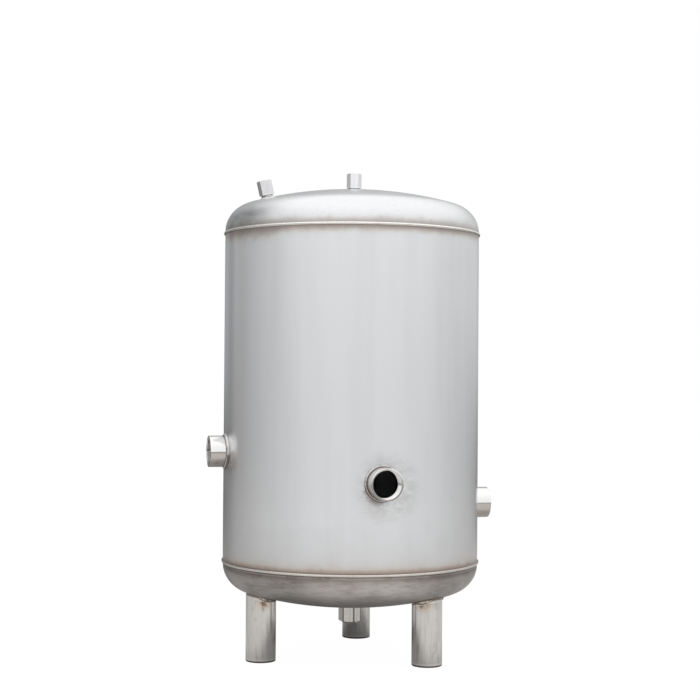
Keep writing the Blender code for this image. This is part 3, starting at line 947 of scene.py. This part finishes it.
def burnt_finish(name, vessel, legs, foot):
    """Weld metal left brown by the heat, with painted shade nearly black along its two edges, in the creases
    against the leg and the head.
    """
    finish = Finish(name, (0.68, 0.62, 0.56))
    patches = finish.noise(0.006, 4.0, roughness=0.6)
    finish.cover(finish.rise(patches, 0.42, 0.58), (0.42, 0.33, 0.27))
    finish.cover(finish.rise(patches, 0.58, 0.68), (0.12, 0.09, 0.08))
    # Painted shade in the creases where the stitch meets the leg and the head
    black = (0.10, 0.075, 0.065)
    finish.cover(finish.rise(finish.reach(foot), legs.radius + 0.0022, legs.radius + 0.0008), black)
    finish.cover(finish.rise(finish.off_crown(vessel, vessel.lower_seam, True), 0.0020, 0.0008), black)
    return finish.steel(finish.scaled(patches, 0.26, 0.48), finish.bump(finish.noise(0.0015, 3.0), 0.00012))


def bar_finish(side, radius, colours):
    """Turned bar: fine tool lines round a socket's axis, with painted shade over its lower half and a
    painted dark line along its top.
    """
    finish = Finish(side + "_turned_bar", colours.bar)
    grain = finish.noise(0.03, 2.0, stretch=(1.0, 0.02, 1.0) if side == "front" else (0.02, 1.0, 1.0))
    stains = finish.noise(0.012, 4.0, roughness=0.6)
    finish.cover(finish.rise(stains, 0.60, 0.85), (0.66, 0.635, 0.61))
    finish.stain(finish.rise(grain, 0.45, 0.70), 0.95)
    outside = finish.rise(finish.off_socket(side), radius - 0.0025, radius - 0.0015)
    below = finish.math("SUBTRACT", middle(side + "_socket").z, finish.height)
    # Painted shade: darker in two steps below the socket's axis, and a dark line along its top
    for low, high, left in SOCKET_PAINTED_SHADE:
        finish.stain(finish.both(outside, finish.rise(below, low, high)), left)
    return finish.steel(finish.scaled(grain, 0.11, 0.17), finish.bump(grain, 0.000004))


def hexagon_finish(name, steel, line_tone):
    """Drawn hexagon bar with lines along it: its finish so far, its roughness and its relief."""
    finish = Finish(name, steel)
    lines = finish.noise(0.0036, 2.0, stretch=(1.0, 1.0, 30.0))
    stains = finish.noise(0.012, 3.0, roughness=0.5)
    finish.stain(finish.rise(lines, 0.42, 0.66), line_tone)
    finish.stain(finish.rise(stains, 0.55, 0.80), (0.95, 0.94, 0.93))
    return finish, finish.scaled(stains, 0.22, 0.30), finish.bump(lines, 0.000004)


def small_hexagon_finish(vessel, fittings, colours):
    """The couplings on the dome: a painted highlight on the lower chamfer, and painted shade in dark lines
    along the neck under it.
    """
    finish, rough, relief = hexagon_finish("drawn_hexagon", colours.hexagon, 0.95)
    high = finish.off_crown(vessel, vessel.upper_seam, False)
    neck = fittings.small_neck
    # Painted highlight on the hexagon's lower chamfer; painted shade on the neck just under the hexagon and
    # in a line lower on the neck
    finish.cover(finish.band(high, neck + 0.0012, 0.0010), (0.93, 0.92, 0.92))
    finish.stain(finish.band(high, neck - 0.0010, 0.0014), (0.42, 0.42, 0.41))
    finish.stain(finish.band(high, 0.0038, 0.0010), 0.55)
    return finish.steel(rough, relief)


def drain_hexagon_finish(fittings, colours):
    """The drain: warmer and darker than the dome's couplings, the darker tone being painted shade under the
    tank, with dark corners.
    """
    finish, rough, relief = hexagon_finish("drain_hexagon_bar", colours.drain, 0.84)
    corner = corner_radius(fittings.drain_flats) - 0.0013
    finish.stain(finish.rise(finish.reach(AXIS), corner, corner + 0.0005), (0.30, 0.28, 0.265))
    return finish.steel(rough, relief)


def tube_finish(vessel, colours):
    """Leg tube: upright streaks and rubbed patches, browned beside its stitches, with painted shade at its
    ends and a painted highlight along the foot's joint.
    """
    finish = Finish("leg_tube", colours.tube)
    streaks = finish.noise(0.0050, 5.0, stretch=(1.0, 1.0, 12.0), roughness=0.6)
    rubs = finish.noise(0.016, 5.0, stretch=(1.0, 1.0, 2.2), roughness=0.68)
    finish.cover(finish.rise(streaks, 0.42, 0.72), (0.53, 0.515, 0.495))
    finish.stain(finish.rise(rubs, 0.54, 0.70), (0.76, 0.745, 0.73))
    for side, stitches in STITCH_AZIMUTHS.items():
        for end in stitches:
            away = finish.away(middle(f"{side}_leg_{end}_weld"))
            finish.stain(finish.rise(away, 0.028, 0.018), colours.straw)
            finish.stain(finish.rise(away, 0.0190, 0.0140), (0.90, 0.84, 0.79))
            soot = finish.both(finish.rise(away, 0.0160, 0.0120), finish.rise(rubs, 0.36, 0.50))
            finish.stain(soot, (0.50, 0.42, 0.37))
    # Painted shade at the top of the leg, in the gap under the head, with an even, slightly darker band just
    # below it
    below = finish.off_crown(vessel, vessel.lower_seam, True)
    finish.cover(finish.band(below, 0.0066, 0.0020), (0.64, 0.62, 0.60))
    finish.stain(finish.rise(below, 0.0044, 0.0030), (0.36, 0.33, 0.31))
    # A painted highlight along the joint of the tube and the foot disc, and painted shade at the very
    # bottom, where the foot meets the floor
    finish.cover(finish.band(finish.height, 0.0062, 0.0020), (0.76, 0.745, 0.73))
    finish.stain(finish.rise(finish.height, 0.0042, 0.0028), (0.20, 0.19, 0.18))
    relief = finish.bump(streaks, 0.00003, finish.bump(rubs, 0.00010))
    return finish.steel(finish.scaled(rubs, 0.14, 0.27), relief)


# The pieces

class TANK_OT_rolled_shell(bpy.types.Operator):
    """Make the rolled shell, drawn in at its girth welds and cut open for the sockets"""
    bl_idname = "tank.rolled_shell"
    bl_label = "Rolled shell"

    def execute(self, context):
        scene = context.scene
        vessel, fittings = scene.tank_vessel, scene.tank_fittings
        low, high = vessel.lower_seam, vessel.upper_seam
        rows = 72
        outer, inner = [], []
        for i in range(rows + 1):
            height = high + (low - high) * i / rows
            pull = pulled_in(vessel, height - low) + pulled_in(vessel, high - height)
            outer.append((vessel.radius - pull, height))
            inner.append((vessel.radius - pull - vessel.shell_wall, height))
        body = turned("rolled_shell", outer + inner[::-4], vessel.sides)
        settle(body, Matrix.Translation(AXIS))
        for side in SOCKET_AZIMUTHS:
            place = socket_placement(side)
            cut_hole(body, fittings.socket_radius, vessel.radius, place, SOCKET_HOLE_SIDES)
        finish_piece(body, sheet_finish(vessel, scene.tank_colours), "shell_steel", "shell")
        return {"FINISHED"}


class TANK_OT_dished_heads(bpy.types.Operator):
    """Make the two dished heads"""
    bl_idname = "tank.dished_heads"
    bl_label = "Dished heads"

    def head(self, vessel, name, seam_height, upside_down, hole):
        outer = dish_outline(vessel, 0.0, hole, crown_steps=36, knuckle_steps=26)
        drawn = [(radius - pulled_in(vessel, height), height) for radius, height in outer]
        inner = dish_outline(vessel, vessel.head_wall, hole, crown_steps=14, knuckle_steps=10)
        body = turned(name, drawn + inner[::-1], vessel.sides)
        settle(body, head_placement(seam_height, upside_down))
        return body

    def execute(self, context):
        scene = context.scene
        vessel, fittings, colours = scene.tank_vessel, scene.tank_fittings, scene.tank_colours
        dome = self.head(vessel, "upper_head", vessel.upper_seam, False, 0.0)
        for radius in (-fittings.top_radius, fittings.side_radius):
            lean = crown_lean(vessel, radius)
            place = coupling_placement(vessel, vessel.upper_seam, False, lean, 0.0)
            cut_hole(dome, fittings.small_spigot, vessel.crown, place, COUPLING_SIDES)
        finish_piece(dome, dome_finish(vessel, colours), "dome_steel", "top_head")
        hole = fittings.drain_spigot + HOLE_CLEARANCE
        base = self.head(vessel, "lower_head", vessel.lower_seam, True, hole)
        finish_piece(base, base_finish(vessel, colours), "base_steel", "bottom_head")
        return {"FINISHED"}


class TANK_OT_girth_welds(bpy.types.Operator):
    """Run the two rippled beads that join the heads to the shell"""
    bl_idname = "tank.girth_welds"
    bl_label = "Girth welds"

    def execute(self, context):
        scene = context.scene
        vessel, welds, colours = scene.tank_vessel, scene.tank_welds, scene.tank_colours
        section = bead_section(welds.girth_width, welds.girth_height, sunk=0.001, lead=0.0012, steps=8)
        # The lower bead and its toes are darker, partly as painted shade
        ends = {
            "top": (vessel.upper_seam, colours.top_bead, (0.58, 0.54, 0.505)),
            "bottom": (vessel.lower_seam, colours.bottom_bead, (0.28, 0.245, 0.22)),
        }
        for end, (height, crest, toe) in ends.items():
            body = bead_ring(end + "_girth_bead", section, vessel.radius, welds.ripple)
            settle(body, Matrix.Translation(AXIS + UP * height))
            roughen(body, strength=0.0005, size=0.005)
            roughen(body, strength=0.0010, size=0.045, direction="Z")
            material = girth_finish(end + "_girth_metal", height, crest, toe)
            finish_bead(body, material, end + "_girth_weld")
        return {"FINISHED"}


class TANK_OT_shell_seam(bpy.types.Operator):
    """Run the flattened bead down the back of the shell"""
    bl_idname = "tank.shell_seam"
    bl_label = "Shell seam"

    def execute(self, context):
        scene = context.scene
        vessel, welds = scene.tank_vessel, scene.tank_welds
        section = bead_section(welds.seam_width, welds.seam_height, sunk=0.001, lead=0.0010, steps=8)
        upright = [Vector((point.x, -point.z, point.y)) for point in section]
        body = draw_chain("shell_seam_bead", upright)
        rise = UP * welds.ripple / RIPPLE_STEPS
        for i in range(RIPPLE_STEPS):
            change = ripple_swell((i + 1) / RIPPLE_STEPS) / ripple_swell(i / RIPPLE_STEPS)
            bpy.ops.mesh.extrude_region_move(TRANSFORM_OT_translate={"value": rise})
            centre = rise * (i + 1)
            bpy.ops.transform.resize(value=(change, change, 1.0), center_override=centre)
        bpy.ops.object.mode_set(mode="OBJECT")
        rows = body.modifiers.new("Ripples", "ARRAY")
        rows.count = int((SEAM_HIGH.z - SEAM_LOW.z) / welds.ripple)
        rows.use_relative_offset = False
        rows.use_constant_offset = True
        rows.constant_offset_displace = UP * welds.ripple
        rows.use_merge_vertices = True
        rows.merge_threshold = 0.00001
        apply_all(body)
        edit_all()
        bpy.ops.mesh.fill_holes(sides=20)
        close_up()
        seam = (SEAM_LOW + SEAM_HIGH) / 2 - AXIS
        facing = Matrix.Rotation(math.atan2(seam.y, seam.x), 4, "Z")
        place = AXIS + Vector((seam.x, seam.y, 0.0)).normalized() * vessel.radius + UP * SEAM_LOW.z
        settle(body, Matrix.Translation(place) @ facing)
        roughen(body, strength=0.0004, size=0.006)
        finish_bead(body, fillet_finish("fillet_metal", scene.tank_colours), "shell_seam_weld")
        return {"FINISHED"}


class TANK_OT_pipe_sockets(bpy.types.Operator):
    """Turn and thread one pipe socket, and set it in its three places"""
    bl_idname = "tank.pipe_sockets"
    bl_label = "Pipe sockets"

    def barrel(self, vessel, fittings):
        radius, bore = fittings.socket_radius, fittings.socket_bore
        inner = vessel.radius - fittings.socket_inside
        mouth = vessel.radius + fittings.socket_reach
        edge = 0.0008
        countersink = 0.0014
        outline = arc((radius - edge, mouth - edge), edge, 90.0, 0.0, 4)
        outline += arc((radius - edge, inner + edge), edge, 0.0, -90.0, 4)
        outline += [(bore, inner), (bore, mouth - countersink), (bore + countersink, mouth)]
        body = turned("socket", outline, SOCKET_SIDES)
        pitch = fittings.pipe_pitch
        combine(body, thread_cutter(bore, pitch, mouth + pitch / 2, turns=12, sides=96), "DIFFERENCE")
        return body

    def execute(self, context):
        scene = context.scene
        fittings = scene.tank_fittings
        first = self.barrel(scene.tank_vessel, fittings)
        for side in SOCKET_AZIMUTHS:
            body = copy_of(first, side + "_pipe_socket")
            settle(body, socket_placement(side))
            material = bar_finish(side, fittings.socket_radius, scene.tank_colours)
            finish_piece(body, material, "socket_steel", side + "_socket")
        bpy.data.objects.remove(first, do_unlink=True)
        return {"FINISHED"}


class TANK_OT_socket_welds(bpy.types.Operator):
    """Run the fillets round the sockets, draped over the round of the shell"""
    bl_idname = "tank.socket_welds"
    bl_label = "Socket welds"

    def execute(self, context):
        scene = context.scene
        vessel, welds, fittings = scene.tank_vessel, scene.tank_welds, scene.tank_fittings
        section = fillet_section(welds.socket_width, welds.socket_height, sunk=0.0008, lead=0.0010, steps=6)

        def shell_surface(x, y):
            return math.sqrt(vessel.radius**2 - x**2)

        for side in SOCKET_AZIMUTHS:
            body = bead_ring(side + "_socket_bead", section, fittings.socket_radius, welds.ripple)
            drape(body, shell_surface)
            settle(body, socket_placement(side))
            roughen(body, strength=0.0009, size=0.006)
            material = fillet_finish(side + "_fillet", scene.tank_colours, side, fittings.socket_radius)
            finish_bead(body, material, side + "_socket_weld")
        return {"FINISHED"}


class TANK_OT_hexagon_couplings(bpy.types.Operator):
    """Make the two couplings on the dome and the drain, with the fillets at their feet"""
    bl_idname = "tank.hexagon_couplings"
    bl_label = "Hexagon couplings"

    def fillet(self, name, vessel, welds, spigot):
        width, height = welds.coupling_width, welds.coupling_height
        section = fillet_section(width, height, sunk=0.0006, lead=0.0007, steps=6)
        body = bead_ring(name, section, spigot, welds.ripple * 0.8)
        drape(body, lambda x, y: math.sqrt(vessel.crown**2 - x**2 - y**2))
        return body

    def execute(self, context):
        scene = context.scene
        vessel, welds, fittings = scene.tank_vessel, scene.tank_welds, scene.tank_fittings
        colours = scene.tank_colours
        small_steel = small_hexagon_finish(vessel, fittings, colours)
        drain_steel = drain_hexagon_finish(fittings, colours)
        weld = coupling_weld_finish(colours)
        small = coupling(
            "small_coupling", vessel, fittings.small_flats, fittings.small_bore, fittings.small_spigot,
            fittings.small_neck, fittings.small_length, fittings.small_pitch,
        )
        drain = coupling(
            "drain_hexagon", vessel, fittings.drain_flats, fittings.drain_bore, fittings.drain_spigot,
            fittings.drain_neck, fittings.drain_length, fittings.pipe_pitch,
        )
        small_fillet = self.fillet("small_fillet", vessel, welds, fittings.small_spigot)
        drain_fillet = self.fillet("drain_fillet", vessel, welds, fittings.drain_spigot)
        upper, lower = vessel.upper_seam, vessel.lower_seam
        right, left = crown_lean(vessel, -fittings.top_radius), crown_lean(vessel, fittings.side_radius)
        small_set, drain_set = (small, small_fillet, small_steel), (drain, drain_fillet, drain_steel)
        places = {
            "top": (small_set, (upper, False, right, fittings.top_turn)),
            "side": (small_set, (upper, False, left, fittings.side_turn)),
            "drain": (drain_set, (lower, True, 0.0, fittings.drain_turn)),
        }
        for side, ((body, fillet, steel), place) in places.items():
            placement = coupling_placement(vessel, *place)
            hexagon = copy_of(body, side + "_hexagon_coupling")
            settle(hexagon, placement)
            finish_piece(hexagon, steel, "hexagon_steel", side + "_coupling")
            bead = copy_of(fillet, side + "_coupling_bead")
            settle(bead, placement)
            roughen(bead, strength=0.0008, size=0.005)
            finish_bead(bead, weld, side + "_coupling_weld")
        for body in (small, drain, small_fillet, drain_fillet):
            bpy.data.objects.remove(body, do_unlink=True)
        return {"FINISHED"}


class TANK_OT_tube_legs(bpy.types.Operator):
    """Make the leg tubes, cut to the lower head, and the discs that close them"""
    bl_idname = "tank.tube_legs"
    bl_label = "Tube legs"

    def head_former(self, vessel, gap):
        """The lower head as a solid, larger by the clearance round it."""
        skirt = 0.06
        outline = dish_outline(vessel, -gap, 0.0, crown_steps=40, knuckle_steps=26)
        outline[0] = (0.0, outline[0][1])
        outline += [(vessel.radius + gap, -skirt), (0.0, -skirt)]
        former = turned("head_former", outline, sides=256)
        settle(former, head_placement(vessel.lower_seam, True))
        return former

    def execute(self, context):
        scene = context.scene
        vessel, legs = scene.tank_vessel, scene.tank_legs
        steel = tube_finish(vessel, scene.tank_colours)
        inner, low, high = legs.radius - legs.wall, legs.foot + DISC_CLEARANCE, vessel.lower_seam + 0.01
        edge, upper, lower = 0.0005, 0.0006, 0.0022
        for side in STITCH_AZIMUTHS:
            foot = middle(side + "_foot")
            stand = Matrix.Translation((foot.x, foot.y, 0.0))
            outline = [(legs.radius, high)] + arc((legs.radius - edge, low + edge), edge, 0.0, -90.0, 3)
            outline += [(inner, low), (inner, high)]
            tube = turned(side + "_leg_tube", outline, LEG_SIDES)
            settle(tube, stand)
            combine(tube, self.head_former(vessel, legs.seat), "DIFFERENCE")
            finish_piece(tube, steel, "leg_steel", side + "_leg")
            outline = [(0.0, legs.foot)]
            outline += arc((legs.radius - upper, legs.foot - upper), upper, 90.0, 0.0, 4)
            outline += arc((legs.radius - lower, lower), lower, 0.0, -90.0, 4)
            outline += [(0.0, 0.0)]
            disc = turned(side + "_foot_disc", outline, LEG_SIDES)
            settle(disc, stand)
            finish_piece(disc, steel, "leg_steel", side + "_foot")
        return {"FINISHED"}


class TANK_OT_leg_welds(bpy.types.Operator):
    """Run the short browned stitches between the legs and the lower head"""
    bl_idname = "tank.leg_welds"
    bl_label = "Leg welds"

    def execute(self, context):
        scene = context.scene
        vessel, welds, legs = scene.tank_vessel, scene.tank_welds, scene.tank_legs
        section = fillet_section(welds.stitch_width, welds.stitch_height, sunk=0.0008, lead=0.0010, steps=6)
        ripples, per_ripple = 11, 4

        def size(place):
            swell = 0.40 + 0.60 * math.sin(math.pi * place) ** 0.6
            return swell * ripple_swell(place * ripples % 1.0)

        for side, stitches in STITCH_AZIMUTHS.items():
            foot = middle(side + "_foot")
            foot.z = 0.0
            material = burnt_finish(side + "_burnt_weld", vessel, legs, foot)

            def under_head(x, y):
                reach = math.hypot(foot.x + x - AXIS.x, foot.y + y - AXIS.y)
                return vessel.lower_seam - dish_height(vessel, reach)

            for end, azimuth in stitches.items():
                start = math.radians(azimuth - 90.0) - welds.stitch_arc / 2
                body = run_bead(
                    f"{side}_leg_{end}_stitch", section, legs.radius, start, welds.stitch_arc,
                    ripples * per_ripple, size,
                )
                bpy.ops.mesh.select_all(action="SELECT")
                bpy.ops.mesh.fill_holes(sides=20)
                bpy.ops.mesh.select_all(action="SELECT")
                bpy.ops.transform.mirror(
                    constraint_axis=(False, False, True), center_override=(0.0, 0.0, 0.0)
                )
                close_up()
                drape(body, under_head)
                settle(body, Matrix.Translation(foot))
                roughen(body, strength=0.0016, size=0.006)
                finish_bead(body, material, f"{side}_leg_{end}_weld", "tinted_weld")
        return {"FINISHED"}


class TANK_OT_stage(bpy.types.Operator):
    """Set the pale floor, the soft studio light and the camera"""
    bl_idname = "tank.stage"
    bl_label = "Stage"

    def floor(self, name, size, height):
        bpy.ops.object.select_all(action="DESELECT")
        bpy.ops.mesh.primitive_plane_add(size=size, location=(0.0, 0.0, height))
        plane = bpy.context.object
        plane.name = name
        return plane

    def floors(self, studio):
        """The white floor that the camera sees, and the duller one that the steel reflects, which glows with
        painted light and the tank's painted shadow.
        """
        white = self.floor("white_floor", studio.floor, -0.0001)
        white.visible_glossy = False
        white.visible_diffuse = False
        finish = Finish("white_floor", 1.0)
        white.data.materials.append(finish.matt(paint(studio.floor_paint), finish.colour, studio.floor_glow))
        ground = self.floor("reflected_floor", studio.floor, -0.0002)
        ground.visible_camera = False
        finish = Finish("reflected_floor", studio.ground)
        # Painted light and shade on the reflected floor: the tank's shadow by the distance from it and by
        # the side
        finish.stain_along(finish.reach(AXIS), GROUND_SHADE_BY_REACH)
        facing = finish.facing(math.degrees(studio.azimuth) + GROUND_TURN)
        finish.stain_along(finish.both(finish.math("ADD", facing, 1.0), 0.5), GROUND_SHADE_BY_SIDE)
        glow = studio.ground_glow
        scattered = finish.tint(finish.colour, glow, paint(0.0))
        ground.data.materials.append(finish.matt(scattered, finish.colour, glow))

    def surroundings(self, studio):
        """The room: bright in front and overhead, darker on the left and behind."""
        world = bpy.data.worlds.new("studio")
        bpy.context.scene.world = world
        world.use_nodes = True
        room = Graph(world.node_tree)
        place = room.add("ShaderNodeTexCoord").outputs["Generated"]
        inputs = {"Vector": place, "Angle": -studio.azimuth}
        facing = room.add("ShaderNodeVectorRotate", inputs, rotation_type="Z_AXIS")
        parts = room.add("ShaderNodeSeparateXYZ", {"Vector": facing.outputs[0]}).outputs
        angle = room.math("ARCTAN2", parts["X"], room.both(parts["Y"], -1.0))
        share = room.math("ADD", room.math("DIVIDE", angle, math.tau), 0.5)
        elevation = room.math("DEGREES", room.math("ARCSINE", parts["Z"]))
        dim = 1.0 / ROOM_LIGHT
        walls, cove = (
            room.ramp(share, [(azimuth / 360 + 0.5, paint(tone, dim)) for azimuth, tone in stops])
            for stops in (WALL_TONES, COVE_TONES)
        )
        tone = room.tint(walls, room.rise(elevation, *COVE_FOOT, "LINEAR"), cove)
        tone = room.tint(tone, room.rise(elevation, *COVE_HEAD, "LINEAR"), paint(CEILING_TONE, dim))
        tone = room.tint(tone, 1.0, paint(ROOM_CAST), "MULTIPLY")
        lit = room.nodes["Background"]
        room.feed(lit.inputs["Color"], tone)
        room.feed(lit.inputs["Strength"], ROOM_LIGHT)
        seen = room.add("ShaderNodeBackground", {"Color": paint(1.0)})
        to_camera = room.add("ShaderNodeLightPath").outputs["Is Camera Ray"]
        choice = room.add("ShaderNodeMixShader", {0: to_camera, 1: lit.outputs[0], 2: seen.outputs[0]})
        room.feed(room.nodes["World Output"].inputs[0], choice.outputs[0])

    def camera(self, studio):
        place = AXIS + outward(studio.azimuth) * studio.distance + UP * studio.height
        bpy.ops.object.camera_add(location=place)
        camera = bpy.context.object
        heading = Matrix.Rotation(studio.azimuth + studio.yaw, 4, "Z")
        level = Matrix.Rotation(math.pi / 2 + studio.pitch, 4, "X")
        lean = Matrix.Rotation(studio.roll, 4, "Z")
        camera.matrix_world = Matrix.Translation(place) @ heading @ level @ lean
        camera.data.sensor_width = 36.0
        camera.data.lens = studio.lens
        bpy.context.scene.camera = camera

    def execute(self, context):
        studio = context.scene.tank_studio
        self.floors(studio)
        self.surroundings(studio)
        self.camera(studio)
        context.scene.view_settings.view_transform = "Standard"
        return {"FINISHED"}


class TANK_PT_panel(bpy.types.Panel):
    """The steps of the tank, in order"""
    bl_idname = "TANK_PT_panel"
    bl_label = "Water pressure tank"
    bl_space_type = "VIEW_3D"
    bl_region_type = "UI"
    bl_category = "Tank"

    def draw(self, context):
        for step in STEPS:
            self.layout.operator(step.bl_idname)
        for group in GROUPS:
            settings = getattr(context.scene, group)
            box = self.layout.box()
            for name in settings.bl_rna.properties.keys():
                if name not in ("rna_type", "name"):
                    box.prop(settings, name)


GROUPS = {
    "tank_vessel": VesselSizes,
    "tank_welds": WeldSizes,
    "tank_fittings": FittingSizes,
    "tank_legs": LegSizes,
    "tank_colours": SteelColours,
    "tank_studio": StudioSettings,
}
STEPS = (
    TANK_OT_rolled_shell,
    TANK_OT_dished_heads,
    TANK_OT_girth_welds,
    TANK_OT_shell_seam,
    TANK_OT_pipe_sockets,
    TANK_OT_socket_welds,
    TANK_OT_hexagon_couplings,
    TANK_OT_tube_legs,
    TANK_OT_leg_welds,
    TANK_OT_stage,
)


def register():
    for piece in (*GROUPS.values(), *STEPS, TANK_PT_panel):
        bpy.utils.register_class(piece)
    for name, group in GROUPS.items():
        setattr(bpy.types.Scene, name, PointerProperty(type=group))


def unregister():
    for name in GROUPS:
        delattr(bpy.types.Scene, name)
    for piece in (TANK_PT_panel, *reversed(STEPS), *GROUPS.values()):
        bpy.utils.unregister_class(piece)


def main():
    register()
    bpy.ops.tank.rolled_shell()
    bpy.ops.tank.dished_heads()
    bpy.ops.tank.girth_welds()
    bpy.ops.tank.shell_seam()
    bpy.ops.tank.pipe_sockets()
    bpy.ops.tank.socket_welds()
    bpy.ops.tank.hexagon_couplings()
    bpy.ops.tank.tube_legs()
    bpy.ops.tank.leg_welds()
    bpy.ops.tank.stage()


if __name__ == "__main__":
    main()
